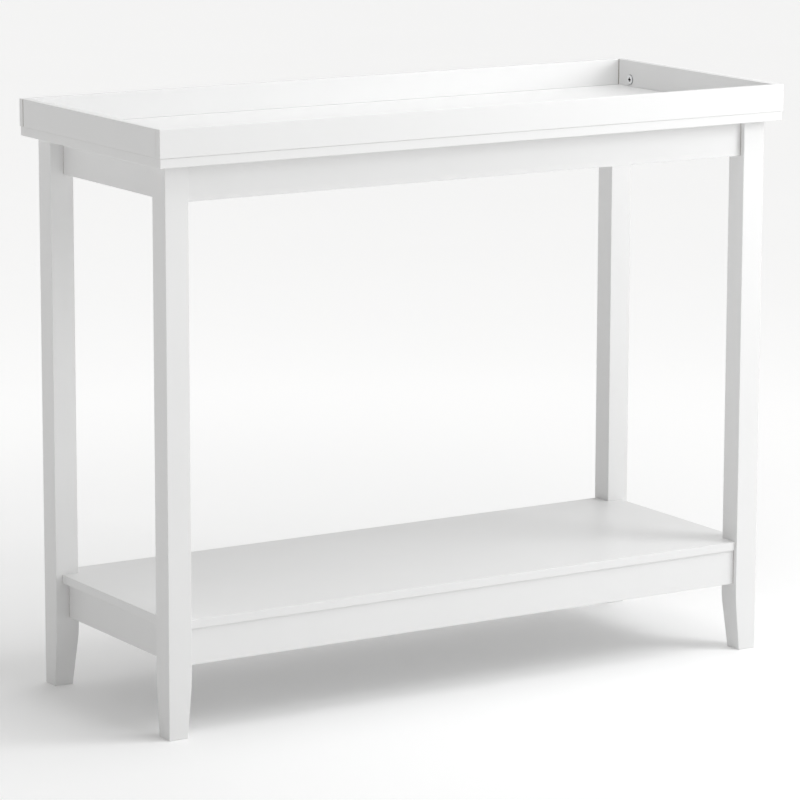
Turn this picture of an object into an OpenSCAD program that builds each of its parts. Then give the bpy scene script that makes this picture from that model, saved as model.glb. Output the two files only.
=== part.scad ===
// Console table: a shallow tray on four tapered legs, with a low shelf between them.
// Every board is a flat panel with a painted face. The frame is held by cam locks and dowels,
// the tray and the shelf by steel angles, and the tray's rim by screws from below.
// Millimetres, +Z up. X runs along the length, Y from the front (-) to the back (+).
// The origin is on the floor, under the middle of the table.

/* [Table] */
// Length of the tray, end to end
table_l = 1000; // [800:10:1300]
// Depth of the tray, front to back
table_d = 400; // [340:10:500]
// Height from the floor to the top of the tray's rim
table_h = 820; // [720:10:900]
// Height of the shelf's upper face above the floor
shelf_z = 160; // [150:5:300]

/* [Tray] */
// Height of the rim above the tray's floor
rim_h = 38; // [34:1:60]
// Thickness of the long rim boards
rim_face_t = 10; // [10:1:16]
// Thickness of the short rim boards, which hold the cam locks
rim_side_t = 12; // [12:1:18]
// Thickness of the board under the rim
base_t = 13; // [12:1:18]
// Distance that the rim stands proud of the base board's edge
rim_proud = 1; // [0:0.5:2]
// Open seam left at each end of a short rim board
seam_gap = 0.7; // [0:0.1:1]

/* [Frame] */
// Width of a leg, which is square above its taper
leg_w = 35; // [35:1:50]
// Distance from the tray's end to the leg's outer face
leg_inset_x = 18; // [10:1:40]
// Distance from the tray's long edge to the leg's outer face
leg_inset_y = 20; // [10:1:40]
// Amount taken off each inner face of a leg at the floor
taper_w = 7; // [0.5:0.5:12]
// Height at which the taper starts
taper_h = 75; // [40:5:80]
// Thickness of the aprons and the shelf rails
rail_t = 15; // [15:1:15]
// Height of the aprons under the tray
apron_h = 50; // [46:1:70]
// Height of the rails under the shelf
rail_h = 50; // [46:1:50]
// Recess of the long aprons behind the leg's face
apron_recess = 8; // [4:1:8]
// Recess of the long shelf rails behind the leg's face
rail_recess = 7; // [4:1:8]
// Recess of the short aprons and rails behind the leg's end face
side_recess = 20; // [20:1:20]

/* [Shelf] */
// Thickness of the shelf panel
shelf_t = 12; // [12:1:18]
// Recess of the shelf's long edges behind the leg's face
shelf_recess_y = 4; // [2:1:10]
// Recess of the shelf's short edges behind the leg's end face
shelf_recess_x = 10; // [2:1:18]

/* [Fittings] */
// Diameter of a cam lock
cam_d = 15; // [15:1:15]
// Distance from a joint to the cam lock's centre
cam_reach = 30; // [24:2:34]
// Distance of the steel angles from the middle of the table
angle_x = 250; // [150:10:300]

/* [Hidden] */
$fn = 48;

// Board edges and levels
leg_x = table_l / 2 - leg_inset_x;
leg_y = table_d / 2 - leg_inset_y;
leg_in_x = leg_x - leg_w;
leg_in_y = leg_y - leg_w;
leg_h = table_h - rim_h - base_t;
tray_floor_z = leg_h + base_t;
apron_z = leg_h - apron_h;
rail_z = shelf_z - shelf_t - rail_h;
rim_in_y = table_d / 2 - rim_face_t;
rim_mid_x = table_l / 2 - rim_side_t / 2;

// Joints in a leg. Long and short boards swap the levels, so that their fittings miss each other
upper_z = 33;
lower_z = 17;
leg_thread_l = 11;
dowel_d = 8;
dowel_l = 30;

// Joints in the rim
rim_cam_z = 10;
rim_dowel_z = 27;
rim_thread_l = 7;
rim_dowel_d = 6;
rim_dowel_l = 20;
rim_dowel_in = 7;

// Cam lock and its bolt
cam_bore_d = 8;
cam_slot_w = 7.4;
cam_skin = 2;
cam_proud = 1.2;
thread_d = 5.9;
bolt_head_d = 6.6;

// Steel angle and screws
angle_leg = 20;
angle_w = 16;
angle_t = 2;
angle_hole = 13;
screw_d = 3.4;
screw_l = 12;
rim_screw_l = 35;
rim_screw_head = 6;
rim_screw_in = 6;
long_screw_x = [-390, -130, 130, 390];
short_screw_y = [-80, 80];

// Room between a fitting and its hole, so that no two solids overlap
play = 0.1;
past = 1;

paint = [0.93, 0.93, 0.92];
zinc = [0.75, 0.76, 0.78];
beech = [0.84, 0.70, 0.50];

// ---- placing ---------------------------------------------------------------------------

// Four corners of the frame, from a child drawn at the front left
module each_corner() {
  for (turn = [0, 180])
    for (side = [0, 1])
      rotate([0, 0, turn])
        mirror([side, 0, 0])
          children();
}

// Where a long board meets a leg: +X runs into the board, +Y to its inner face
module at_long_joints(recess, z) {
  each_corner()
    translate([-leg_in_x, -leg_y + recess + rail_t / 2, z])
      children();
}

// Where a short board meets a leg, drawn the same way round
module at_short_joints(z) {
  each_corner()
    translate([-leg_x + side_recess + rail_t / 2, -leg_in_y, z])
      mirror([1, -1, 0])
        children();
}

// Where a short rim board meets a long one
module at_rim_joints(z) {
  each_corner()
    translate([-rim_mid_x, -rim_in_y, z])
      mirror([1, -1, 0])
        children();
}

// The six steel angles under a panel at height z
module at_angles(recess, z) {
  for (turn = [0, 180])
    rotate([0, 0, turn]) {
      for (x = [-angle_x, angle_x])
        translate([x, -leg_y + recess + rail_t, z])
          children();
      translate([-leg_x + side_recess + rail_t, 0, z])
        rotate([0, 0, -90])
          children();
    }
}

// The screws that hold the rim from below
module at_rim_screws(z) {
  for (side = [-1, 1]) {
    for (x = long_screw_x)
      translate([x, side * (table_d / 2 - rim_screw_in), z])
        children();
    for (y = short_screw_y)
      translate([side * rim_mid_x, y, z])
        children();
  }
}

// ---- fittings --------------------------------------------------------------------------

module cross_recess(size, depth) {
  for (turn = [0, 90])
    rotate([0, 0, turn])
      translate([-size / 2, -size / 10, -depth])
        cube([size, size / 5, depth + past]);
}

// Bolt along +X from the joint: thread behind it, collar, shank, waist and head
module cam_bolt(thread_l) {
  rotate([0, 90, 0]) {
    translate([0, 0, -thread_l])
      cylinder(d = thread_d, h = thread_l);
    cylinder(d = 7.6, h = 1);
    cylinder(d = 5, h = cam_reach - 4);
    cylinder(d = 3.6, h = cam_reach);
    translate([0, 0, cam_reach - 1.5])
      cylinder(d = bolt_head_d, h = 3);
  }
}

// Cam lock in a board t thick: its face stands a little proud of the board's inner face
module cam_lock(t) {
  depth = t - cam_skin - play;
  translate([cam_reach, t / 2, 0])
    rotate([-90, 0, 0])
      difference() {
        translate([0, 0, -depth])
          cylinder(d = cam_d - 2 * play, h = depth + cam_proud);
        translate([-cam_d, -cam_slot_w / 2, -t / 2 - cam_slot_w / 2])
          cube([cam_d + 3, cam_slot_w, cam_slot_w]);
        translate([0, 0, cam_proud])
          cross_recess(7, 1.6);
      }
}

// What a cam joint takes out of the board that holds the cam
module cam_cut(t) {
  translate([-past, 0, 0])
    rotate([0, 90, 0])
      cylinder(d = cam_bore_d, h = cam_reach + past);
  translate([cam_reach, -t / 2 + cam_skin, 0])
    rotate([-90, 0, 0])
      cylinder(d = cam_d, h = t);
}

// What a cam joint takes out of the leg or board that holds the bolt
module bolt_cut(thread_l) {
  translate([-thread_l - play, 0, 0])
    rotate([0, 90, 0])
      cylinder(d = thread_d + 2 * play, h = thread_l + play + past);
}

module dowel(d, l, back) {
  translate([-back, 0, 0])
    rotate([0, 90, 0])
      cylinder(d = d - 2 * play, h = l);
}

module dowel_cut(d, l, back) {
  translate([-back - play, 0, 0])
    rotate([0, 90, 0])
      cylinder(d = d, h = l + 2 * play);
}

module angle_plate() {
  translate([-angle_w / 2, 0, -angle_t])
    difference() {
      cube([angle_w, angle_leg, angle_t]);
      translate([angle_w / 2, angle_hole, -past])
        cylinder(d = screw_d + 1, h = angle_t + 2 * past);
    }
}

// Steel angle: one plate under the panel, one against the rail
module steel_angle() {
  angle_plate();
  mirror([0, 1, 1])
    angle_plate();
}

// Pan-head screw, pointing up from the underside of its head
module pan_screw() {
  tip = 3;
  cylinder(d = screw_d, h = screw_l - tip);
  translate([0, 0, screw_l - tip])
    cylinder(d1 = screw_d, d2 = 0.6, h = tip);
  mirror([0, 0, 1])
    difference() {
      cylinder(d1 = 7, d2 = 5.4, h = 2.2);
      translate([0, 0, 2.2])
        cross_recess(3.8, 1.3);
    }
}

// The two screws of an angle
module angle_screws() {
  translate([0, angle_hole, -angle_t])
    pan_screw();
  mirror([0, 1, 1])
    translate([0, angle_hole, -angle_t])
      pan_screw();
}

// Pilot holes for the two screws, one up into the panel and one into the rail
module angle_pilots() {
  translate([0, angle_hole, -past])
    cylinder(d = screw_d + 2 * play, h = screw_l - angle_t + play + past);
  mirror([0, 1, 1])
    translate([0, angle_hole, -past])
      cylinder(d = screw_d + 2 * play, h = screw_l - angle_t + play + past);
}

// Countersunk screw with its head flush at z = 0
module rim_screw() {
  tip = 4;
  difference() {
    union() {
      cylinder(d1 = rim_screw_head, d2 = screw_d, h = 2.6);
      cylinder(d = screw_d, h = rim_screw_l - tip);
    }
    mirror([0, 0, 1])
      cross_recess(3.6, 1.4);
  }
  translate([0, 0, rim_screw_l - tip])
    cylinder(d1 = screw_d, d2 = 0.6, h = tip);
}

module rim_screw_cut() {
  cylinder(d = screw_d + 2 * play, h = rim_screw_l + play);
  translate([0, 0, -past])
    cylinder(d = rim_screw_head + 2 * play, h = past);
  cylinder(d1 = rim_screw_head + 2 * play, d2 = screw_d + 2 * play, h = 2.6);
}

// ---- tray ------------------------------------------------------------------------------

module tray_base() {
  base_l = table_l - 2 * rim_proud;
  base_d = table_d - 2 * rim_proud;
  color(paint)
    difference() {
      translate([-base_l / 2, -base_d / 2, leg_h])
        cube([base_l, base_d, base_t]);
      at_rim_screws(leg_h)
        rim_screw_cut();
      at_angles(apron_recess, leg_h)
        angle_pilots();
    }
}

module long_rim_board(side) {
  y0 = side < 0 ? -table_d / 2 : rim_in_y;
  color(paint)
    difference() {
      translate([-table_l / 2, y0, tray_floor_z])
        cube([table_l, rim_face_t, rim_h]);
      at_rim_joints(tray_floor_z + rim_cam_z)
        bolt_cut(rim_thread_l);
      at_rim_joints(tray_floor_z + rim_dowel_z)
        dowel_cut(rim_dowel_d, rim_dowel_l, rim_dowel_in);
      at_rim_screws(leg_h)
        rim_screw_cut();
    }
}

module short_rim_board(side) {
  x0 = side < 0 ? -table_l / 2 : table_l / 2 - rim_side_t;
  board_l = 2 * (rim_in_y - seam_gap);
  color(paint)
    difference() {
      translate([x0, -board_l / 2, tray_floor_z])
        cube([rim_side_t, board_l, rim_h]);
      at_rim_joints(tray_floor_z + rim_cam_z)
        cam_cut(rim_side_t);
      at_rim_joints(tray_floor_z + rim_dowel_z)
        dowel_cut(rim_dowel_d, rim_dowel_l, rim_dowel_in);
      at_rim_screws(leg_h)
        rim_screw_cut();
    }
}

module rim_front() { long_rim_board(-1); }
module rim_back() { long_rim_board(1); }
module rim_left() { short_rim_board(-1); }
module rim_right() { short_rim_board(1); }

// ---- legs ------------------------------------------------------------------------------

// Side outline of a leg: straight outer face, inner face drawn in below the taper's start
leg_bend = 12;
leg_ease = 1.5;
function bend_point(t) = let(
    low = [leg_w - taper_w * leg_bend / taper_h, taper_h - leg_bend],
    mid = [leg_w, taper_h],
    high = [leg_w, taper_h + leg_bend])
  (1 - t) * (1 - t) * low + 2 * t * (1 - t) * mid + t * t * high;
leg_outline = concat(
  [[0, leg_ease], [leg_ease, 0]],
  [[leg_w - taper_w - leg_ease, 0], [leg_w - taper_w, leg_ease]],
  [for (t = [0:0.25:1]) bend_point(t)],
  [[leg_w, leg_h], [0, leg_h]]);

// Front left leg: the outlines seen from the front and from the end, crossed
module leg_blank() {
  translate([-leg_x, -leg_y, 0])
    intersection() {
      translate([0, leg_w, 0])
        rotate([90, 0, 0])
          linear_extrude(leg_w)
            polygon(leg_outline);
      rotate([90, 0, 90])
        linear_extrude(leg_w)
          polygon(leg_outline);
    }
}

module leg_bores() {
  at_long_joints(apron_recess, apron_z + upper_z) bolt_cut(leg_thread_l);
  at_long_joints(apron_recess, apron_z + lower_z) dowel_cut(dowel_d, dowel_l, dowel_l / 2);
  at_short_joints(apron_z + lower_z) bolt_cut(leg_thread_l);
  at_short_joints(apron_z + upper_z) dowel_cut(dowel_d, dowel_l, dowel_l / 2);
  at_long_joints(rail_recess, rail_z + upper_z) bolt_cut(leg_thread_l);
  at_long_joints(rail_recess, rail_z + lower_z) dowel_cut(dowel_d, dowel_l, dowel_l / 2);
  at_short_joints(rail_z + lower_z) bolt_cut(leg_thread_l);
  at_short_joints(rail_z + upper_z) dowel_cut(dowel_d, dowel_l, dowel_l / 2);
}

module leg(turn, side) {
  color(paint)
    difference() {
      rotate([0, 0, turn])
        mirror([side, 0, 0])
          leg_blank();
      leg_bores();
    }
}

module leg_front_left() { leg(0, 0); }
module leg_front_right() { leg(0, 1); }
module leg_back_right() { leg(180, 0); }
module leg_back_left() { leg(180, 1); }

// ---- aprons and shelf rails ------------------------------------------------------------

module long_rail(turn, recess, z, h, panel_z) {
  color(paint)
    difference() {
      rotate([0, 0, turn])
        translate([-leg_in_x, -leg_y + recess, z])
          cube([2 * leg_in_x, rail_t, h]);
      at_long_joints(recess, z + upper_z)
        cam_cut(rail_t);
      at_long_joints(recess, z + lower_z)
        dowel_cut(dowel_d, dowel_l, dowel_l / 2);
      at_angles(recess, panel_z)
        angle_pilots();
    }
}

module short_rail(turn, recess, z, h, panel_z) {
  color(paint)
    difference() {
      rotate([0, 0, turn])
        translate([-leg_x + side_recess, -leg_in_y, z])
          cube([rail_t, 2 * leg_in_y, h]);
      at_short_joints(z + lower_z)
        cam_cut(rail_t);
      at_short_joints(z + upper_z)
        dowel_cut(dowel_d, dowel_l, dowel_l / 2);
      at_angles(recess, panel_z)
        angle_pilots();
    }
}

module apron_front() { long_rail(0, apron_recess, apron_z, apron_h, leg_h); }
module apron_back() { long_rail(180, apron_recess, apron_z, apron_h, leg_h); }
module apron_left() { short_rail(0, apron_recess, apron_z, apron_h, leg_h); }
module apron_right() { short_rail(180, apron_recess, apron_z, apron_h, leg_h); }
module shelf_rail_front() { long_rail(0, rail_recess, rail_z, rail_h, shelf_z - shelf_t); }
module shelf_rail_back() { long_rail(180, rail_recess, rail_z, rail_h, shelf_z - shelf_t); }
module shelf_rail_left() { short_rail(0, rail_recess, rail_z, rail_h, shelf_z - shelf_t); }
module shelf_rail_right() { short_rail(180, rail_recess, rail_z, rail_h, shelf_z - shelf_t); }

// ---- shelf -----------------------------------------------------------------------------

// Panel notched round the legs, with a little room at each notch
module shelf_panel() {
  half_l = leg_x - shelf_recess_x;
  half_d = leg_y - shelf_recess_y;
  notch_gap = 0.5;
  color(paint)
    difference() {
      translate([-half_l, -half_d, shelf_z - shelf_t])
        cube([2 * half_l, 2 * half_d, shelf_t]);
      each_corner()
        translate([-leg_x, -leg_y, shelf_z - shelf_t - past])
          cube([leg_w + notch_gap, leg_w + notch_gap, shelf_t + 2 * past]);
      at_angles(rail_recess, shelf_z - shelf_t)
        angle_pilots();
    }
}

// ---- fasteners, one node for each kind -------------------------------------------------

module rim_cam_locks() {
  color(zinc)
    at_rim_joints(tray_floor_z + rim_cam_z)
      cam_lock(rim_side_t);
}

module rim_cam_bolts() {
  color(zinc)
    at_rim_joints(tray_floor_z + rim_cam_z)
      cam_bolt(rim_thread_l);
}

module rim_dowels() {
  color(beech)
    at_rim_joints(tray_floor_z + rim_dowel_z)
      dowel(rim_dowel_d, rim_dowel_l, rim_dowel_in);
}

module rim_screws() {
  color(zinc)
    at_rim_screws(leg_h)
      rim_screw();
}

module frame_cam_locks(recess, z) {
  color(zinc) {
    at_long_joints(recess, z + upper_z) cam_lock(rail_t);
    at_short_joints(z + lower_z) cam_lock(rail_t);
  }
}

module frame_cam_bolts(recess, z) {
  color(zinc) {
    at_long_joints(recess, z + upper_z) cam_bolt(leg_thread_l);
    at_short_joints(z + lower_z) cam_bolt(leg_thread_l);
  }
}

module frame_dowels(recess, z) {
  color(beech) {
    at_long_joints(recess, z + lower_z) dowel(dowel_d, dowel_l, dowel_l / 2);
    at_short_joints(z + upper_z) dowel(dowel_d, dowel_l, dowel_l / 2);
  }
}

module apron_cam_locks() { frame_cam_locks(apron_recess, apron_z); }
module apron_cam_bolts() { frame_cam_bolts(apron_recess, apron_z); }
module apron_dowels() { frame_dowels(apron_recess, apron_z); }
module rail_cam_locks() { frame_cam_locks(rail_recess, rail_z); }
module rail_cam_bolts() { frame_cam_bolts(rail_recess, rail_z); }
module rail_dowels() { frame_dowels(rail_recess, rail_z); }

module tray_angles() {
  color(zinc)
    at_angles(apron_recess, leg_h)
      steel_angle();
}

module tray_angle_screws() {
  color(zinc)
    at_angles(apron_recess, leg_h)
      angle_screws();
}

module shelf_angles() {
  color(zinc)
    at_angles(rail_recess, shelf_z - shelf_t)
      steel_angle();
}

module shelf_angle_screws() {
  color(zinc)
    at_angles(rail_recess, shelf_z - shelf_t)
      angle_screws();
}

tray_base();
rim_front();
rim_back();
rim_left();
rim_right();
leg_front_left();
leg_front_right();
leg_back_left();
leg_back_right();
apron_front();
apron_back();
apron_left();
apron_right();
shelf_panel();
shelf_rail_front();
shelf_rail_back();
shelf_rail_left();
shelf_rail_right();
rim_cam_locks();
rim_cam_bolts();
rim_dowels();
rim_screws();
apron_cam_locks();
apron_cam_bolts();
apron_dowels();
rail_cam_locks();
rail_cam_bolts();
rail_dowels();
tray_angles();
tray_angle_screws();
shelf_angles();
shelf_angle_screws();
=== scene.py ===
import math

import bmesh
import bpy
from mathutils import Matrix, Quaternion, Vector


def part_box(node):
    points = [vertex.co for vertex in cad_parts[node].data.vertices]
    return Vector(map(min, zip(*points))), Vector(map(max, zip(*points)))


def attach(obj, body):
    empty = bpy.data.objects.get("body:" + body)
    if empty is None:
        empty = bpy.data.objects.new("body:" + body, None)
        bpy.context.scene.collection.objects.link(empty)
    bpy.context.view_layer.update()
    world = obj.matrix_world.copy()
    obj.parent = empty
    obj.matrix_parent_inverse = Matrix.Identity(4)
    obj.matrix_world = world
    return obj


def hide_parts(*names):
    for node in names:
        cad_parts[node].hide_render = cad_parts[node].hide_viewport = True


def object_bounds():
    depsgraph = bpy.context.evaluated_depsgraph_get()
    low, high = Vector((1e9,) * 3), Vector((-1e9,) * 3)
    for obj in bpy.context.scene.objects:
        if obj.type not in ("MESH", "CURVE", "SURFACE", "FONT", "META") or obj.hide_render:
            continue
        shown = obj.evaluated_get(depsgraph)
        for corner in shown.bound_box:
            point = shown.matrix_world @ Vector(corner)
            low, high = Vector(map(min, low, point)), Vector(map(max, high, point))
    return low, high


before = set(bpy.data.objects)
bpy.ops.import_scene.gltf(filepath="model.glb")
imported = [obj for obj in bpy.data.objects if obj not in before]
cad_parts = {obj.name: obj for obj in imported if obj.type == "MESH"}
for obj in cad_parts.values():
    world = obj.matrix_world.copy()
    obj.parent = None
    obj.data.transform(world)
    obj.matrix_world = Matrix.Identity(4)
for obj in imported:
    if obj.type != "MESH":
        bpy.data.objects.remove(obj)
cad_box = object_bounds()
MM = 0.001
scene = bpy.context.scene

# ---- Viewpoint ---------------------------------------------------------------------------
# The table is seen from beyond its left front corner, from a little above the tray's rim,
# through a long lens that keeps its legs almost upright.
view_azimuth = math.radians(-31.85)
view_elevation = math.radians(10.97)
view_tilt = math.radians(0.14)
view_distance = 5.784
look_at = (cad_box[0] + cad_box[1]) / 2 + Vector((-0.0114, 0, -0.0251))

towards_camera = Vector((
    math.sin(view_azimuth) * math.cos(view_elevation),
    -math.cos(view_azimuth) * math.cos(view_elevation),
    math.sin(view_elevation),
))
camera = bpy.data.objects.new("camera", bpy.data.cameras.new("camera"))
camera.data.lens = 185.2
camera.location = look_at + view_distance * towards_camera
camera.rotation_mode = "QUATERNION"
level_view = (-towards_camera).to_track_quat("-Z", "Y")
camera.rotation_quaternion = level_view @ Quaternion((0, 0, 1), view_tilt)
scene.collection.objects.link(camera)
scene.camera = camera

# ---- Light -------------------------------------------------------------------------------
# A white room gives a soft light, weaker from its left side. A softbox over the front of the tray
# and one at the right, with wide banks of lamps farther off, make the front faces the bright ones.
room_white = (1.0, 0.996, 0.985, 1)
lamp_white = (0.985, 0.992, 1.0)
room_strength, right_gain = 0.52, 0.11
scene.view_settings.view_transform = "Standard"


class Tone:
    """What a shader node gives out. Arithmetic on it adds Math nodes."""

    def __init__(self, finish, socket):
        self.finish, self.socket = finish, socket

    def maths(self, operation, *values):
        return self.finish.node("ShaderNodeMath", {"operation": operation}, dict(enumerate(values)))

    def __add__(self, other):
        return self.maths("ADD", self, other)

    def __mul__(self, other):
        return self.maths("MULTIPLY", self, other)

    __radd__, __rmul__ = __add__, __mul__


class Finish:
    """The nodes of a material, or of the room that gives the light."""

    def __init__(self, owner):
        owner.use_nodes = True
        self.owner, self.tree = owner, owner.node_tree
        self.tree.nodes.clear()

    def node(self, kind, settings, inputs, output=0):
        """Adds a node: its type, its settings, and a value or a link for each of its sockets."""
        node = self.tree.nodes.new(kind)
        for name, setting in settings.items():
            setattr(node, name, setting)
        for name, value in inputs.items():
            if isinstance(value, Tone):
                self.tree.links.new(value.socket, node.inputs[name])
            else:
                node.inputs[name].default_value = value
        return Tone(self, node.outputs[output]) if node.outputs else None

    def place(self):
        """Where a point lies in the table, in metres."""
        return self.node("ShaderNodeTexCoord", {}, {}, "Object")

    def noted(self, attribute, output="Fac"):
        """A value or a vector that the piece's own mesh carries."""
        return self.node("ShaderNodeAttribute", {"attribute_name": attribute}, {}, output)

    def stretched(self, place, scale):
        return self.node("ShaderNodeMapping", {}, {"Vector": place, "Scale": scale})

    def noise(self, place, size, detail=2.0, roughness=0.5):
        """Cloudy noise from 0 to 1 whose patches are about `size` metres across."""
        settings = {"Scale": 1 / size, "Detail": detail, "Roughness": roughness}
        return self.node("ShaderNodeTexNoise", {}, {"Vector": place, **settings})

    def limited(self, value, low, high):
        """Takes a value's stretch from low to high out to 0 and 1, with soft ends."""
        sockets = {"Value": value, "From Min": low, "From Max": high}
        return self.node("ShaderNodeMapRange", {"interpolation_type": "SMOOTHSTEP"}, sockets)

    def mixed(self, share, low, high):
        """Goes from one colour to another."""
        return self.node("ShaderNodeMix", {"data_type": "RGBA"}, {0: share, 6: low, 7: high}, 2)

    def bump(self, height, depth):
        """Raises the surface by `depth` metres where the height is 1."""
        return self.node("ShaderNodeBump", {}, {"Height": height, "Strength": 1.0, "Distance": depth})

    def surface(self, **sockets):
        """The shader itself. An underscore in a name stands for a space."""
        named = {name.replace("_", " "): value for name, value in sockets.items()}
        shader = self.node("ShaderNodeBsdfPrincipled", {}, named)
        self.node("ShaderNodeOutputMaterial", {}, {"Surface": shader})
        return self.owner


room = Finish(bpy.data.worlds.new("white_room"))
outward = room.node("ShaderNodeTexCoord", {}, {}, "Generated")
to_right = room.node("ShaderNodeSeparateXYZ", {}, {"Vector": outward}, "X")
strength = room_strength + to_right * right_gain
background = room.node("ShaderNodeBackground", {}, {"Color": room_white, "Strength": strength})
room.node("ShaderNodeOutputWorld", {}, {"Surface": background})
scene.world = room.owner


def hang(name, kind, place, aim, strength):
    """Hangs a lamp at a place, facing a point on the table."""
    lamp = bpy.data.lights.new(name, kind)
    lamp.energy, lamp.color = strength, lamp_white
    holder = bpy.data.objects.new(name, lamp)
    holder.location = place
    holder.rotation_euler = (Vector(aim) - Vector(place)).to_track_quat("-Z", "Y").to_euler()
    holder.visible_camera = False
    scene.collection.objects.link(holder)
    return lamp


table_middle = Vector((0, 0, 0.5))
for name, way, strength in (
    ("front_bank", (0.55, -0.65, 0.6), 0.54),
    ("back_bank", (0.7, 0.5, 0.8), 0.39),
):
    bank = hang(name, "SUN", table_middle + 6 * Vector(way), table_middle, strength)
    bank.angle = math.radians(60)
hang("right_softbox", "AREA", (1.3, -1.0, 1.2), (0.1, 0, 0.7), 9.0).size = 0.6
hang("top_softbox", "AREA", (0.03, -0.5, 2.1), (0.0, 0.1, 0.7), 10.4).size = 1.0

# ---- Floor -------------------------------------------------------------------------------
# A plain pale studio floor of matt paint, laid out far past the view on every side. Away from the
# table it is lit up to white from below, as a light floor for table-top work is.
floor_span = 60
lit_from, lit_to = 0.7, 2.2
near_glow, far_glow = 0.06, 0.245
laid = bmesh.new()
bmesh.ops.create_grid(laid, x_segments=1, y_segments=1, size=floor_span / 2)
floor_mesh = bpy.data.meshes.new("studio_floor")
laid.to_mesh(floor_mesh)
laid.free()
floor = bpy.data.objects.new("studio_floor", floor_mesh)
scene.collection.objects.link(floor)

floor_paint = Finish(bpy.data.materials.new("pale_floor"))
floor_place = floor_paint.place()
away = floor_paint.node("ShaderNodeVectorMath", {"operation": "LENGTH"}, {0: floor_place}, "Value")
lit = floor_paint.limited(away, lit_from, lit_to)
floor_clouds = floor_paint.noise(floor_place, 0.6)
floor_mesh.materials.append(floor_paint.surface(
    Base_Color=floor_paint.mixed(floor_clouds, (0.93, 0.93, 0.93, 1), (0.95, 0.95, 0.95, 1)),
    Roughness=0.9,
    Specular_IOR_Level=0.1,
    Emission_Color=floor_paint.mixed(lit, (near_glow,) * 3 + (1,), (far_glow,) * 3 + (1,)),
    Emission_Strength=1.0,
))

# ---- Joints ------------------------------------------------------------------------------
# The boards are drilled before they are painted. Where two boards meet there is a cam bolt, which
# a cam lock draws tight, and a dowel beside it. Long and short boards swap the two levels in a
# leg, so that their fittings miss each other. The rim is also screwed down from below.
upper_level, lower_level = 33 * MM, 17 * MM
rim_bolt_level, rim_dowel_level = 10 * MM, 27 * MM
lock_reach = 30 * MM
lock_width = 15 * MM
skin_behind_lock = 2 * MM
bolt_bore, bolt_thread = 8 * MM, 6.1 * MM
screw_hole = 3.6 * MM
screw_head_hole = 6.2 * MM
lock_sides, hole_sides = 48, 16
play = 0.1 * MM


class Joint:
    """A meeting of two boards: its middle, the way into the board, the way to its inner face."""

    def __init__(self, middle, inward, inner, thickness):
        self.middle, self.inward, self.inner = Vector(middle), Vector(inward), Vector(inner)
        self.thickness = thickness

    def fitting(self, reach=0.0, out=0.0):
        """Places a fitting drawn with +X running into the board and +Z to its inner face."""
        across = self.inner.cross(self.inward)
        turn = Matrix((self.inward, across, self.inner)).transposed().to_4x4()
        return Matrix.Translation(self.middle + self.inward * reach + self.inner * out) @ turn


def end_joints(board, ends_at, level):
    """The joints of the two short boards, one of which is named, with what they butt against."""
    lo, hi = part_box(board)
    middle, thickness = abs(lo.x + hi.x) / 2, hi.x - lo.x
    for x in (-1, 1):
        for y in (-1, 1):
            yield Joint((x * middle, y * ends_at, lo.z + level), (0, -y, 0), (-x, 0, 0), thickness)


def side_joints(board, level):
    """The joints of the two long boards, one of which is named."""
    lo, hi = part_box(board)
    middle, thickness = abs(lo.y + hi.y) / 2, hi.y - lo.y
    for x in (-1, 1):
        for y in (-1, 1):
            yield Joint((x * hi.x, y * middle, lo.z + level), (-x, 0, 0), (0, -y, 0), thickness)


def frame_joints(long_board, short_board, long_level, short_level):
    short_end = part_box(short_board)[1].y
    long_ones = side_joints(long_board, long_level)
    return [*long_ones, *end_joints(short_board, short_end, short_level)]


rim_inner_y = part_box("rim_back")[0].y
seam_gap = rim_inner_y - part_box("rim_left")[1].y
bolts = {
    "rim": list(end_joints("rim_left", rim_inner_y, rim_bolt_level)),
    "apron": frame_joints("apron_front", "apron_left", upper_level, lower_level),
    "rail": frame_joints("shelf_rail_front", "shelf_rail_left", upper_level, lower_level),
}
dowels = {
    "rim": list(end_joints("rim_left", rim_inner_y, rim_dowel_level)),
    "apron": frame_joints("apron_front", "apron_left", lower_level, upper_level),
    "rail": frame_joints("shelf_rail_front", "shelf_rail_left", lower_level, upper_level),
}
dowel_width = {"rim": 6 * MM, "apron": 8 * MM, "rail": 8 * MM}
dowel_length = {"rim": 20 * MM, "apron": 30 * MM, "rail": 30 * MM}
dowel_back = {"rim": 7 * MM, "apron": 15 * MM, "rail": 15 * MM}
bolt_back = {"rim": 7 * MM, "apron": 11 * MM, "rail": 11 * MM}

# A hole is its mouth, the way it goes, and (width, depth) steps from the mouth down.
holes = []
for group, joints in bolts.items():
    gap = seam_gap if group == "rim" else 0
    for joint in joints:
        end = joint.middle + gap * joint.inward
        wall = lock_reach - lock_width / 2 - 5 * play
        pocket = joint.middle + joint.inward * lock_reach + joint.inner * joint.thickness / 2
        pocket_depth = joint.thickness - skin_behind_lock
        holes += [
            (end, joint.inward, [(bolt_bore, 0), (bolt_bore, wall - gap)]),
            (pocket, -joint.inner, [(lock_width, 0), (lock_width, pocket_depth)]),
            (joint.middle, -joint.inward, [(bolt_thread, 0), (bolt_thread, bolt_back[group] + play)]),
        ]
for group, joints in dowels.items():
    gap = seam_gap if group == "rim" else 0
    width = dowel_width[group]
    for joint in joints:
        ahead = dowel_length[group] - dowel_back[group] + play - gap
        behind = dowel_back[group] + play
        holes += [
            (joint.middle + gap * joint.inward, joint.inward, [(width, 0), (width, ahead)]),
            (joint.middle, -joint.inward, [(width, 0), (width, behind)]),
        ]

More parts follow.
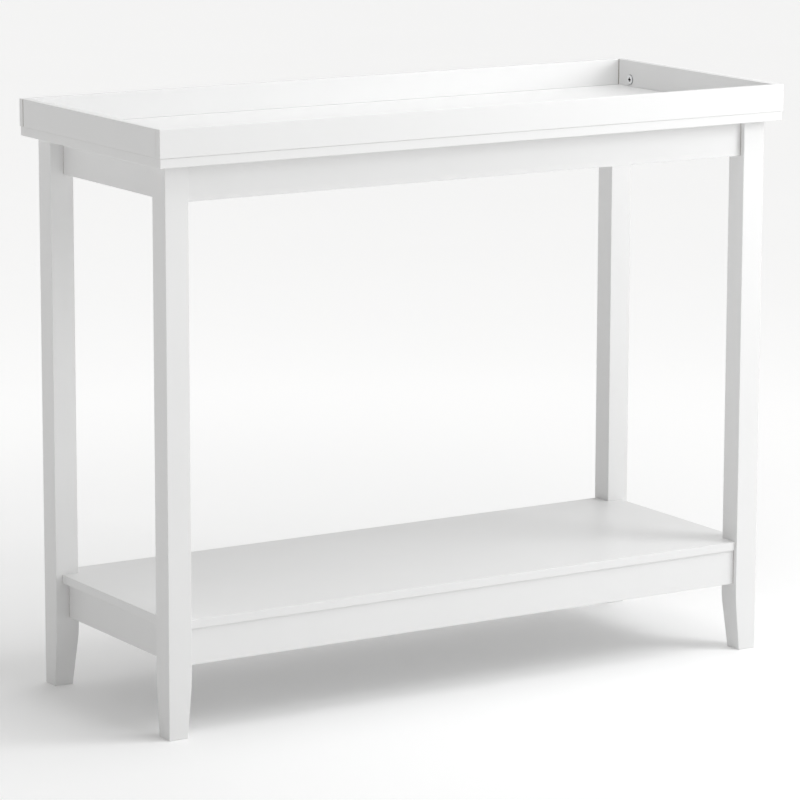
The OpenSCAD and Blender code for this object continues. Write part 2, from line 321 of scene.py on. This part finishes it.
# The rim's screws pass right through the base board, drilled from both of its faces.
rim_screw_x = (130 * MM, 390 * MM)
rim_screw_y = 80 * MM
rim_screw_length = 35 * MM
screw_line_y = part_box("rim_screws")[1].y - 3 * MM
screw_line_x = (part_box("rim_right")[0].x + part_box("rim_right")[1].x) / 2
base_under, base_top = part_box("tray_base")[0].z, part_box("tray_base")[1].z
base_thick = base_top - base_under
rim_screw_places = [
    Vector((side * x, row * screw_line_y, base_under))
    for x in rim_screw_x for side in (-1, 1) for row in (-1, 1)
] + [
    Vector((side * screw_line_x, row * rim_screw_y, base_under)) for side in (-1, 1) for row in (-1, 1)
]
up, down = Vector((0, 0, 1)), Vector((0, 0, -1))
countersink = 2.6 * MM
for foot in rim_screw_places:
    head = foot + base_thick * up
    holes += [
        (foot, up, [(screw_head_hole, 0), (screw_hole, countersink), (screw_hole, base_thick / 2)]),
        (head, down, [(screw_hole, 0), (screw_hole, base_thick / 2)]),
        (head, up, [(screw_hole, 0), (screw_hole, rim_screw_length + play - base_thick)]),
    ]

# Steel angles under the tray and under the shelf, two on each long side and one at each end.
angle_spacing = 250 * MM
angle_hole = 13 * MM
angle_thick = 2 * MM
angle_screw_length = 12 * MM


def angle_places(panel, long_board, short_board):
    """Where the angles sit, drawn with +Y running under the panel and -Z down the board."""
    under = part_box(panel)[0].z
    long_inner, short_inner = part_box(long_board)[1].y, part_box(short_board)[1].x
    for turn in (0, math.pi):
        half_turn = Matrix.Rotation(turn, 4, "Z")
        for x in (-angle_spacing, angle_spacing):
            yield half_turn @ Matrix.Translation((x, long_inner, under))
        quarter = Matrix.Rotation(-math.pi / 2, 4, "Z")
        yield half_turn @ Matrix.Translation((short_inner, 0, under)) @ quarter


angles = {
    "tray": list(angle_places("tray_base", "apron_front", "apron_left")),
    "shelf": list(angle_places("shelf_panel", "shelf_rail_front", "shelf_rail_left")),
}
pilot = [(screw_hole, 0), (screw_hole, angle_screw_length - angle_thick + play)]
for places in angles.values():
    for place in places:
        into_board = (place.to_3x3() @ Vector((0, -1, 0))).normalized()
        holes += [
            (place @ Vector((0, angle_hole, 0)), up, pilot),
            (place @ Vector((0, 0, -angle_hole)), into_board, pilot),
        ]


def flat_face(board, point, into):
    """The flat face that a hole's mouth lies in."""
    for face in board.faces:
        in_plane = abs((point - face.verts[0].co).dot(into)) < play / 100
        if in_plane and face.normal.dot(into) < -0.999:
            if bmesh.geometry.intersect_face_point(face, point):
                return face
    return None


def bore(board, mouth, into, steps):
    """Sinks a round hole in a flat face: squares off a patch, makes it round, and pushes it in."""
    width = steps[0][0]
    sides = lock_sides if width == lock_width else hole_sides
    half = width / 2 + 3 * play
    board.normal_update()
    ring = flat_face(board, mouth, into)

    def length_along(axis):
        along = [vert.co.dot(axis) for vert in ring.verts]
        return max(along) - min(along)

    across = [Vector(axis) for axis in Matrix.Identity(3) if abs(into.dot(axis)) < 0.5]
    for axis in sorted(across, key=length_along, reverse=True):
        for side in (-1, 1):
            ring = flat_face(board, mouth, into)
            patch = [ring, *ring.edges, *ring.verts]
            cut = mouth + side * half * axis
            bmesh.ops.bisect_plane(board, geom=patch, dist=play / 100, plane_co=cut, plane_no=axis)
            board.normal_update()
    ring = flat_face(board, mouth, into)
    bmesh.ops.inset_individual(board, faces=[ring], thickness=2 * play)
    bmesh.ops.bisect_edges(board, edges=ring.edges[:], cuts=sides // 4 - 1)
    order = [loop.vert for loop in ring.loops]
    corner = order.index(max(order, key=lambda vert: round((vert.co - mouth).length, 7)))
    spoke = (order[corner].co - mouth).normalized()
    for step, vert in enumerate(order[corner:] + order[:corner]):
        arm = Quaternion(-into, math.tau * step / sides) @ spoke
        vert.co = mouth + arm * width / 2
    for width, depth in steps[1:]:
        ring = bmesh.ops.extrude_discrete_faces(board, faces=[ring])["faces"][0]
        for vert in ring.verts:
            arm = vert.co - mouth
            arm -= arm.dot(into) * into
            vert.co = mouth + depth * into + arm.normalized() * width / 2
    return ring


def drill(board, node):
    """Drills every hole that starts on a board's surface and goes into it."""
    lo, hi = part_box(node)
    floors = []
    for mouth, into, steps in holes:
        inside = mouth + play / 2 * into
        outside = mouth - play / 2 * into
        if all(lo[k] < inside[k] < hi[k] for k in range(3)) \
                and not all(lo[k] < outside[k] < hi[k] for k in range(3)):
            floors.append(bore(board, mouth, into, steps))
    # Two holes that meet floor to floor become one that goes right through.
    met = [
        (one, other) for k, one in enumerate(floors) for other in floors[k + 1:]
        if (one.calc_center_median() - other.calc_center_median()).length < play
    ]
    rims = [vert for pair in met for face in pair for vert in face.verts]
    bmesh.ops.delete(board, geom=[face for pair in met for face in pair], context="FACES_ONLY")
    bmesh.ops.remove_doubles(board, verts=rims, dist=play / 10)


# ---- Tray base board ---------------------------------------------------------------------
# The tray's floor and the table's top in one: a flat fibreboard panel, its edges rounded over
# and its faces sprayed with a satin white lacquer that lies a little thin on the edges.
edge_round = 0.8 * MM
sawn_round = 0.6 * MM


def sawn_block(node):
    """A block that fills a node's box."""
    lo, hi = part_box(node)
    board = bmesh.new()
    board.verts.layers.float.new("wear")
    # Faces noted in this layer are painted dark brown, as painted shade in the seams.
    board.faces.layers.float.new("seam_shade")
    size = Matrix.Diagonal((*(hi - lo), 1))
    bmesh.ops.create_cube(board, size=1, matrix=Matrix.Translation((lo + hi) / 2) @ size)
    return board


def score(board, point, across):
    """Adds a line of edges round a board where a plane cuts it."""
    everything = [*board.verts, *board.edges, *board.faces]
    bmesh.ops.bisect_plane(board, geom=everything, dist=0, plane_co=point, plane_no=across)


def round_over(board, edges, radius, segments=4):
    """Sands edges round. The middle of each rounding is noted as where the finish wears."""
    eased = bmesh.ops.bevel(
        board, geom=edges, offset=radius, offset_type="OFFSET", segments=segments, profile=0.5,
        affect="EDGES", material=-1, clamp_overlap=True,
    )
    rounding = set(eased["faces"])
    wear = board.verts.layers.float["wear"]
    for vert in eased["verts"]:
        vert[wear] = float(all(face in rounding for face in vert.link_faces))
    bmesh.ops.remove_doubles(board, verts=board.verts[:], dist=play / 50)


def paint_seam_shade(board, chosen):
    """Marks faces to be painted dark brown: painted shade in the seams where boards butt together."""
    seam_shade = board.faces.layers.float["seam_shade"]
    for face in board.faces:
        if chosen(face.calc_center_median()):
            face[seam_shade] = 1.0


def edges_along(board, axis):
    return [e for e in board.edges if abs((e.verts[1].co - e.verts[0].co).normalized()[axis]) > 0.99]


def end_edges(board, axis):
    """The edges round the two ends of a board."""
    board.normal_update()
    return list({e for f in board.faces if abs(f.normal[axis]) > 0.99 for e in f.edges})


def finished(name, shape, material, slot, *nodes):
    """Makes a shape a piece of the table that stands for its CAD nodes."""
    mesh = bpy.data.meshes.new(name)
    shape.to_mesh(mesh)
    shape.free()
    mesh.shade_smooth()
    mesh.set_sharp_from_angle(angle=math.radians(35))
    mesh.materials.append(material)
    piece = bpy.data.objects.new(name, mesh)
    scene.collection.objects.link(piece)
    flattened = piece.modifiers.new("flat_faces", "WEIGHTED_NORMAL")
    flattened.keep_sharp = True
    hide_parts(*nodes)
    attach(piece, "root")


def satin_lacquer():
    """White satin lacquer: faint clouds, a fine sprayed skin, dust under it, thin edges, and a dark
    brown on the marked seam faces that is painted shade.
    """
    lacquer = Finish(bpy.data.materials.new("white_satin_lacquer"))
    place = lacquer.place()
    clouds = lacquer.noise(place, 90 * MM, 3.0)
    handling = lacquer.noise(place, 22 * MM, 4.0, 0.6)
    sprayed = lacquer.noise(place, 1.6 * MM, 2.0)
    dust = lacquer.limited(lacquer.noise(place, 0.9 * MM, 1.0), 0.76, 0.82)
    rubbed = lacquer.noted("wear") * lacquer.limited(lacquer.noise(place, 14 * MM, 4.0, 0.7), 0.4, 0.8)
    coat = lacquer.mixed(clouds, (0.78, 0.78, 0.777, 1), (0.80, 0.80, 0.799, 1))
    coat = lacquer.mixed(rubbed * 0.35, coat, (0.64, 0.62, 0.58, 1))
    # The noted seam faces take a dark brown with a fibre grain and a matt roughness: painted shade
    # where boards butt.
    fibres = lacquer.noise(place, 0.7 * MM, 3.0, 0.7)
    board = lacquer.mixed(fibres, (0.16, 0.12, 0.085, 1), (0.30, 0.235, 0.165, 1))
    seam_shade = lacquer.noted("seam_shade")
    skin = lacquer.bump(sprayed * 0.8 + dust * 0.6, 0.02 * MM)
    return lacquer.surface(
        Base_Color=lacquer.mixed(seam_shade, coat, board),
        Roughness=0.30 + handling * 0.10 + rubbed * 0.12 + seam_shade * 0.5,
        Normal=skin,
    )


lacquer = satin_lacquer()

base_board = sawn_block("tray_base")
round_over(base_board, base_board.edges[:], edge_round)
drill(base_board, "tray_base")
finished("tray_base_painted", base_board, lacquer, "white_paint", "tray_base")

# ---- Rim ---------------------------------------------------------------------------------
# Four boards stood on the base board's edge. The long ones run the full length and cover the
# sawn ends of the short ones, so a dark line shows at each corner, partly the seam's gap and partly
# painted shade: the faces hidden in the seams are painted dark brown. Short ones take the cam locks.
rim_round = 0.7 * MM
pushed_forward = 0.35 * MM
butt_x, butt_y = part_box("rim_right")[0].x, rim_inner_y + play
for node, length_axis in (("rim_front", 0), ("rim_back", 0), ("rim_left", 1), ("rim_right", 1)):
    rim_board = sawn_block(node)
    round_over(rim_board, edges_along(rim_board, length_axis), rim_round)
    ends = rim_round if length_axis == 0 else sawn_round
    round_over(rim_board, end_edges(rim_board, length_axis), ends, 3)
    if length_axis == 0:
        for side in (-1, 1):
            score(rim_board, (side * butt_x, 0, 0), (1, 0, 0))
        # The long board's inner face behind each short board's end is painted dark, as painted shade
        # in the seam.
        paint_seam_shade(rim_board, lambda middle: abs(middle.x) > butt_x and abs(middle.y) < butt_y)
    else:
        # Each short board's back end is painted dark, as painted shade in the seam.
        paint_seam_shade(rim_board, lambda middle: middle.y > butt_y - seam_gap - sawn_round)
    drill(rim_board, node)
    if node == "rim_left":
        bmesh.ops.translate(rim_board, vec=(0, -pushed_forward, 0), verts=rim_board.verts[:])
    finished(node + "_painted", rim_board, lacquer, "white_paint", node)

# ---- Legs --------------------------------------------------------------------------------
# Solid square posts. The outer faces are straight, and the two inner faces draw in towards the
# floor below a soft bend. The long edges are rounded over and the feet chamfered.
leg_round = 0.9 * MM
foot_round = 1.2 * MM
taper_width = 7 * MM
taper_height = 75 * MM
bend_half = 12 * MM
bend_cuts = 6


def drawn_in(height):
    """How far a leg's inner faces are drawn in at a height above the floor."""
    bend_foot, bend_top = taper_height - bend_half, taper_height + bend_half
    if height >= bend_top:
        return 0.0
    if height > bend_foot:
        at_foot = taper_width * bend_half / taper_height
        return at_foot * ((bend_top - height) / (bend_top - bend_foot)) ** 2
    return taper_width * (1 - height / taper_height)


for node in ("leg_front_left", "leg_front_right", "leg_back_left", "leg_back_right"):
    lo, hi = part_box(node)
    middle = (lo + hi) / 2
    leg = sawn_block(node)
    for step in range(bend_cuts + 1):
        level = taper_height - bend_half + 2 * bend_half * step / bend_cuts
        score(leg, (0, 0, level), up)
    for vert in leg.verts:
        inset = drawn_in(vert.co.z)
        for axis in (0, 1):
            outwards = math.copysign(1, middle[axis])
            if (vert.co[axis] - middle[axis]) * outwards < 0:
                vert.co[axis] += outwards * inset
    round_over(leg, edges_along(leg, 2), leg_round)
    leg.normal_update()
    foot = next(f for f in leg.faces if f.normal.z < -0.99)
    round_over(leg, foot.edges[:], foot_round, 3)
    leg.normal_update()
    top = next(f for f in leg.faces if f.normal.z > 0.99)
    round_over(leg, top.edges[:], sawn_round, 2)
    drill(leg, node)
    finished(node + "_painted", leg, lacquer, "white_paint", node)

# ---- Aprons and shelf rails --------------------------------------------------------------
# Straight boards between the legs, a set under the tray and a set under the shelf. Their ends
# are sawn square and butt against the legs; the cam locks are let into their inner faces.
rail_round = 0.7 * MM
for level in ("apron", "shelf_rail"):
    for side, length_axis in (("front", 0), ("back", 0), ("left", 1), ("right", 1)):
        node = level + "_" + side
        rail = sawn_block(node)
        round_over(rail, edges_along(rail, length_axis), rail_round)
        round_over(rail, end_edges(rail, length_axis), sawn_round, 2)
        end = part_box(node)[1][length_axis] - sawn_round
        # The sawn ends are painted dark, as painted shade in the seams against the legs.
        paint_seam_shade(rail, lambda middle: abs(middle[length_axis]) > end)
        drill(rail, node)
        finished(node + "_painted", rail, lacquer, "white_paint", node)

# ---- Shelf -------------------------------------------------------------------------------
# One flat panel, notched at its corners to pass round the legs, with its edges rounded over.
notch_gap = 0.5 * MM
shelf_lo, shelf_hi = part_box("shelf_panel")
leg_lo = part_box("leg_back_right")[0]
notch_x, notch_y = leg_lo.x - notch_gap, leg_lo.y - notch_gap


def pulled(shape, faces, way, keep=False):
    """Extrudes faces, keeping the ones they started from or not. Gives the points moved."""
    region = list({part for face in faces for part in (face, *face.edges)})
    moved = bmesh.ops.extrude_face_region(shape, geom=region, use_keep_orig=keep)["geom"]
    moved = [part for part in moved if isinstance(part, bmesh.types.BMVert)]
    bmesh.ops.translate(shape, vec=way, verts=moved)
    return moved


shelf = bmesh.new()
shelf.verts.layers.float.new("wear")
at_underside = Matrix.Translation((0, 0, shelf_lo.z))
outline = at_underside @ Matrix.Diagonal((shelf_hi.x, shelf_hi.y, 1, 1))
bmesh.ops.create_grid(shelf, x_segments=1, y_segments=1, size=1, matrix=outline)
for axis, notch in ((0, notch_x), (1, notch_y)):
    for side in (-1, 1):
        normal = Vector((axis == 0, axis == 1, 0))
        score(shelf, side * notch * normal, normal)
corners = [
    f for f in shelf.faces
    if abs(f.calc_center_median().x) > notch_x and abs(f.calc_center_median().y) > notch_y
]
bmesh.ops.delete(shelf, geom=corners, context="FACES")
bmesh.ops.dissolve_faces(shelf, faces=shelf.faces[:], use_verts=True)
pulled(shelf, shelf.faces[:], (0, 0, shelf_hi.z - shelf_lo.z), keep=True)
bmesh.ops.recalc_face_normals(shelf, faces=shelf.faces[:])
round_over(shelf, shelf.edges[:], rail_round)
drill(shelf, "shelf_panel")
finished("shelf_panel_painted", shelf, lacquer, "white_paint", "shelf_panel")

# ---- Cam locks ---------------------------------------------------------------------------
# Small drums of cast zinc in round pockets, standing a little proud. Each has a slot for the
# bolt's head, a worn bright face, and a cross that a quarter turn of the screwdriver tightens.
# The darker sides below the bright face are partly a duller cast finish and partly painted shade; the
# cross is painted near black as shade in its recess.
lock_slot = 7.4 * MM
slot_past_middle = 3.4 * MM
lock_rim = 0.4 * MM
lock_slack = 0.35 * MM
lock_proud = 1.2 * MM
cross_span, cross_blade, cross_depth = 6.6 * MM, 2.0 * MM, 3.2 * MM


def turned(outline, sides):
    """Spins an outline of (radius, height) points round the Z axis and closes its open top."""
    shape = bmesh.new()
    shape.verts.layers.float.new("wear")
    shape.faces.layers.float.new("recess")
    points = [shape.verts.new((radius, 0, height)) for radius, height in outline]
    lines = [shape.edges.new(pair) for pair in zip(points, points[1:])]
    bmesh.ops.spin(
        shape, geom=points + lines, cent=(0, 0, 0), axis=(0, 0, 1), dvec=(0, 0, 0),
        angle=math.tau, steps=sides, use_merge=True, use_duplicate=False,
    )
    bmesh.ops.remove_doubles(shape, verts=shape.verts[:], dist=play / 100)
    bmesh.ops.holes_fill(shape, edges=[e for e in shape.edges if e.is_boundary], sides=0)
    bmesh.ops.recalc_face_normals(shape, faces=shape.faces[:])
    return shape


def cut_cross(shape, span, blade, depth):
    """Sinks a tapered cross for a screwdriver in the flat top of a turned shape."""
    level = max(vert.co.z for vert in shape.verts)

    def top_faces():
        return [f for f in shape.faces if all(abs(v.co.z - level) < play / 100 for v in f.verts)]

    for axis in (Vector((1, 0, 0)), Vector((0, 1, 0))):
        for cut in (-span / 2, -blade / 2, blade / 2, span / 2):
            faces = top_faces()
            patch = list({part for f in faces for part in (f, *f.edges, *f.verts)})
            bmesh.ops.bisect_plane(shape, geom=patch, dist=0, plane_co=cut * axis, plane_no=axis)
    arms = [
        f for f in top_faces()
        if min(abs(f.calc_center_median().x), abs(f.calc_center_median().y)) < blade / 2
        and max(abs(f.calc_center_median().x), abs(f.calc_center_median().y)) < span / 2
    ]
    sunk = pulled(shape, arms, (0, 0, -depth))
    bmesh.ops.scale(shape, vec=(0.7, 0.7, 1), verts=sunk)
    # The flat top is noted as worn, so it comes out bright; the sides, left unworn, come out darker,
    # partly a duller cast finish and partly painted shade.
    wear, recess = shape.verts.layers.float["wear"], shape.faces.layers.float["recess"]
    for vert in shape.verts:
        vert[wear] = float(abs(vert.co.z - level) < play / 100)
    # The faces round the sunk cross are noted for a near-black colour: painted shade in the recess.
    for face in {face for vert in sunk for face in vert.link_faces}:
        face[recess] = 1.0


def set_out(shape, places):
    """Copies a fitting to all its places. Every copy keeps its own coordinates for its finish."""
    own = shape.verts.layers.float_vector.new("own")
    for vert in shape.verts:
        vert[own] = vert.co
    pattern = bpy.data.meshes.new("pattern")
    shape.to_mesh(pattern)
    shape.free()
    copies = bmesh.new()
    for place in places:
        before = len(copies.verts)
        copies.from_mesh(pattern)
        copies.verts.ensure_lookup_table()
        bmesh.ops.transform(copies, matrix=place, verts=copies.verts[before:])
    bpy.data.meshes.remove(pattern)
    return copies


def cam_lock(depth, bolt_depth):
    """A lock whose back is `depth` below the board's face, and its bolt `bolt_depth` below it."""
    radius = lock_width / 2 - lock_slack
    slot_top = -bolt_depth + lock_slot / 2
    slot_floor = max(-bolt_depth - lock_slot / 2, -depth + lock_rim + play)
    outline = [
        (0, -depth), (radius - lock_rim, -depth), (radius, -depth + lock_rim),
        (radius, slot_floor), (radius, slot_top), (radius, lock_proud - lock_rim),
        (radius - lock_rim / 3, lock_proud - lock_rim / 3), (radius - lock_rim, lock_proud),
    ]
    lock = turned(outline, lock_sides)
    mouth = []
    for face in lock.faces:
        middle = face.calc_center_median()
        beside = abs(math.atan2(middle.y, -middle.x)) < math.radians(30)
        if beside and slot_floor < middle.z < slot_top and middle.x < -radius / 2:
            mouth.append(face)
    pulled(lock, mouth, (radius + slot_past_middle, 0, 0))
    cut_cross(lock, cross_span, cross_blade, cross_depth)
    return lock


def cast_zinc(name, dull, clean):
    """Zinc with a fine cast grain and small scratches: bright on its worn face and darker elsewhere,
    the darker sides of the cam locks partly painted shade; near black down in a recess, which is
    painted shade.
    """
    zinc = Finish(bpy.data.materials.new(name))
    place = zinc.place()
    own = zinc.noted("own", "Vector")
    patches = zinc.noise(place, 5 * MM, 3.0)
    grain = zinc.noise(place, 0.35 * MM, 2.0)
    scratches = zinc.noise(zinc.stretched(own, (1, 14, 6)), 2 * MM, 4.0, 0.7)
    rubbed = zinc.limited(zinc.noted("wear") + patches * 0.3, 0.2, 1.1)
    colour = zinc.mixed(rubbed, dull, clean)
    return zinc.surface(
        # Near black on the noted recess faces is painted shade.
        Base_Color=zinc.mixed(zinc.noted("recess"), colour, (0.05, 0.05, 0.055, 1)),
        Metallic=1.0,
        Roughness=0.28 + patches * 0.16 + scratches * 0.10,
        Normal=zinc.bump(grain * 0.5 + scratches * 0.5, 0.03 * MM),
    )


# On the cam locks the dull colour of the sides is partly painted shade.
zinc = cast_zinc("cast_zinc", (0.42, 0.43, 0.45, 1), (0.90, 0.90, 0.91, 1))
plated = cast_zinc("zinc_plated_steel", (0.60, 0.61, 0.63, 1), (0.80, 0.81, 0.84, 1))

for group in ("rim", "apron", "rail"):
    nodes = group + "_cam_locks"
    thickness = bolts[group][0].thickness
    lock = cam_lock(thickness - skin_behind_lock - play, thickness / 2)
    places = [joint.fitting(lock_reach, thickness / 2) for joint in bolts[group]]
    finished(nodes + "_zinc", set_out(lock, places), zinc, "zinc_steel", nodes)

# ---- Cam bolts ---------------------------------------------------------------------------
# Steel pins, turned and zinc plated. The threaded end is screwed into the leg, or into the long
# rim board, up to its collar; the head at the far end is what the cam lock pulls on.
thread_pitch = 1.2 * MM
fitting_sides = 20
laid_down = Matrix.Rotation(math.pi / 2, 3, "Y")


def threaded(radius, root, start, length):
    """The outline of a thread: a crest and a root for each turn."""
    turns = int(length / thread_pitch)
    starts = [start + turn * thread_pitch for turn in range(turns)]
    return [
        point for foot in starts
        for point in ((root, foot), (radius, foot + thread_pitch / 2))
    ]


def cam_bolt(back):
    head_r, shank_r, waist_r = 3.3 * MM, 2.5 * MM, 1.8 * MM
    collar_r, thread_r = 3.8 * MM, 2.95 * MM
    outline = [(0, -back), (thread_r - 0.9 * MM, -back)]
    outline += threaded(thread_r, thread_r - 0.7 * MM, -back + 0.4 * MM, back - 0.4 * MM)
    outline += [(collar_r - 0.2 * MM, 0), (collar_r, 0.2 * MM), (collar_r, 0.8 * MM), (shank_r, MM)]
    outline += [(shank_r, lock_reach - 4.4 * MM), (waist_r, lock_reach - 4 * MM)]
    outline += [(waist_r, lock_reach - 1.8 * MM), (head_r - 0.3 * MM, lock_reach - 1.5 * MM)]
    outline += [(head_r, lock_reach - MM), (head_r, lock_reach + MM)]
    outline += [(head_r - MM, lock_reach + 1.5 * MM)]
    bolt = turned(outline, fitting_sides)
    bmesh.ops.rotate(bolt, cent=(0, 0, 0), matrix=laid_down, verts=bolt.verts[:])
    return bolt


for group in ("rim", "apron", "rail"):
    nodes = group + "_cam_bolts"
    places = [joint.fitting() for joint in bolts[group]]
    bolt = cam_bolt(bolt_back[group])
    finished(nodes + "_steel", set_out(bolt, places), plated, "zinc_steel", nodes)

# ---- Dowels ------------------------------------------------------------------------------
# Short beech pins with chamfered ends, fluted so that the glue can rise past them.
flute_depth = 0.25 * MM
dowel_chamfer = 0.8 * MM
flutes = 18


def beech_dowel(width, length, back):
    radius = width / 2 - play
    dowel = bmesh.new()
    dowel.verts.layers.float.new("wear")
    middle = Matrix.Translation((0, 0, length / 2 - back))
    bmesh.ops.create_cone(
        dowel, cap_ends=True, cap_tris=False, segments=2 * flutes, radius1=radius, radius2=radius,
        depth=length - 2 * dowel_chamfer, matrix=middle,
    )
    caps = [f for f in dowel.faces if len(f.verts) > 4]
    for cap in caps:
        for vert in cap.verts:
            step = round(math.atan2(vert.co.y, vert.co.x) * flutes / math.pi)
            across = Vector((vert.co.x, vert.co.y, 0))
            vert.co -= across.normalized() * flute_depth * (step % 2)
    for cap in caps:
        outward = cap.normal.copy()
        bmesh.ops.inset_individual(dowel, faces=[cap], thickness=dowel_chamfer / 2)
        bmesh.ops.translate(dowel, vec=outward * dowel_chamfer, verts=cap.verts[:])
    bmesh.ops.rotate(dowel, cent=(0, 0, 0), matrix=laid_down, verts=dowel.verts[:])
    return dowel


def beech_wood():
    """Plain beech, its grain and short dark flecks running along the dowel."""
    beech = Finish(bpy.data.materials.new("beech_wood"))
    own = beech.noted("own", "Vector")
    place = beech.place()
    fibres = beech.noise(beech.stretched(own, (0.06, 1, 1)), 0.5 * MM, 4.0, 0.6)
    flecks = beech.limited(beech.noise(beech.stretched(own, (0.25, 1, 1)), 0.4 * MM, 1.0), 0.62, 0.72)
    tone = beech.noise(place, 30 * MM)
    wood = beech.mixed(fibres * 0.6 + tone * 0.4, (0.50, 0.32, 0.17, 1), (0.68, 0.49, 0.30, 1))
    wood = beech.mixed(flecks * 0.6, wood, (0.33, 0.19, 0.09, 1))
    return beech.surface(
        Base_Color=wood,
        Roughness=0.58 + fibres * 0.2,
        Normal=beech.bump(fibres + flecks * 0.3, 0.06 * MM),
    )


beech = beech_wood()
for group in ("rim", "apron", "rail"):
    nodes = group + "_dowels"
    pin = beech_dowel(dowel_width[group], dowel_length[group], dowel_back[group])
    places = [joint.fitting() for joint in dowels[group]]
    finished(nodes + "_wood", set_out(pin, places), beech, "beech", nodes)

# ---- Screws ------------------------------------------------------------------------------
# Cross-headed steel screws, zinc plated: long countersunk ones that come up through the base
# board into the rim, and short pan-headed ones that hold the steel angles.
screw_r, screw_root = 1.7 * MM, 1.2 * MM


def wood_screw(length, head):
    """A screw with its point at the bottom and the top of its head at the end of `head`."""
    tip = 3.5 * MM
    outline = [(0, -length), (screw_root * 0.5, -length + tip / 2)]
    outline += threaded(screw_r, screw_root, -length + tip, length - tip - 4 * MM)
    return turned(outline + [(screw_root, -3.9 * MM)] + head, fitting_sides)


def head_up(point, way):
    """Places a screw whose head is at a point and whose tip points a given way."""
    return Matrix.Translation(point) @ (-Vector(way)).to_track_quat("Z", "Y").to_matrix().to_4x4()


flat_head = [(screw_r, -countersink), (3 * MM, -0.2 * MM), (2.9 * MM, 0)]
rim_screw = wood_screw(rim_screw_length, flat_head)
cut_cross(rim_screw, 3.6 * MM, 0.8 * MM, 1.4 * MM)
places = [head_up(foot, up) for foot in rim_screw_places]
finished("rim_screws_steel", set_out(rim_screw, places), plated, "zinc_steel", "rim_screws")

pan_head = [
    (screw_r, 0), (3.3 * MM, 0), (3.5 * MM, 0.2 * MM), (3.4 * MM, 1.1 * MM), (3.1 * MM, 1.7 * MM),
    (2.7 * MM, 2.2 * MM),
]
for group, nodes in (("tray", "tray_angle_screws"), ("shelf", "shelf_angle_screws")):
    pan_screw = wood_screw(angle_screw_length, pan_head)
    cut_cross(pan_screw, 3.8 * MM, 0.8 * MM, 1.3 * MM)
    places = []
    for place in angles[group]:
        into_board = place.to_3x3() @ Vector((0, -1, 0))
        places += [
            head_up(place @ Vector((0, angle_hole, -angle_thick)), up),
            head_up(place @ Vector((0, angle_thick, -angle_hole)), into_board),
        ]
    finished(nodes + "_steel", set_out(pan_screw, places), plated, "zinc_steel", nodes)

# ---- Steel angles ------------------------------------------------------------------------
# Strips of plated steel, punched, clipped at the corners and folded square. One plate goes
# under the panel and the other against the board's inner face.
angle_side = 20 * MM
angle_width = 16 * MM
corner_round = 3 * MM
fold_inside = 0.8 * MM


def steel_angle():
    """Folded with its outer corner on the X axis: +Y is under the panel, -Z down the board."""
    angle = bmesh.new()
    angle.verts.layers.float.new("wear")
    outline = [
        (0, 0), (angle_side, 0), (angle_side, -angle_thick), (angle_thick, -angle_thick),
        (angle_thick, -angle_side), (0, -angle_side),
    ]
    profile = angle.faces.new([angle.verts.new((-angle_width / 2, y, z)) for y, z in outline])
    pulled(angle, [profile], (angle_width, 0, 0), keep=True)
    bmesh.ops.recalc_face_normals(angle, faces=angle.faces[:])
    folds, inside = edges_along(angle, 0), Vector((angle_thick, -angle_thick))
    inner_fold = [e for e in folds if all((v.co.yz - inside).length < play for v in e.verts)]
    outer_fold = [e for e in folds if all(v.co.yz.length < play for v in e.verts)]
    round_over(angle, outer_fold, angle_thick + fold_inside)
    round_over(angle, [e for e in inner_fold if e.is_valid], fold_inside)
    clipped = [
        e for e in angle.edges
        if abs((e.verts[1].co - e.verts[0].co).x) < play
        and all(max(v.co.y, -v.co.z) > angle_side - play for v in e.verts)
    ]
    round_over(angle, clipped, corner_round)
    hole = screw_hole + 8 * play
    through = [(hole, 0), (hole, angle_thick / 2)]
    floors = []
    for mouth, into in (
        ((0, angle_hole, 0), (0, 0, -1)), ((0, angle_hole, -angle_thick), (0, 0, 1)),
        ((0, 0, -angle_hole), (0, 1, 0)), ((0, angle_thick, -angle_hole), (0, -1, 0)),
    ):
        floors.append(bore(angle, Vector(mouth), Vector(into), through))
    rims = [vert for face in floors for vert in face.verts]
    bmesh.ops.delete(angle, geom=floors, context="FACES_ONLY")
    bmesh.ops.remove_doubles(angle, verts=rims, dist=play / 10)
    return angle


for group, nodes in (("tray", "tray_angles"), ("shelf", "shelf_angles")):
    finished(nodes + "_steel", set_out(steel_angle(), angles[group]), plated, "zinc_steel", nodes)
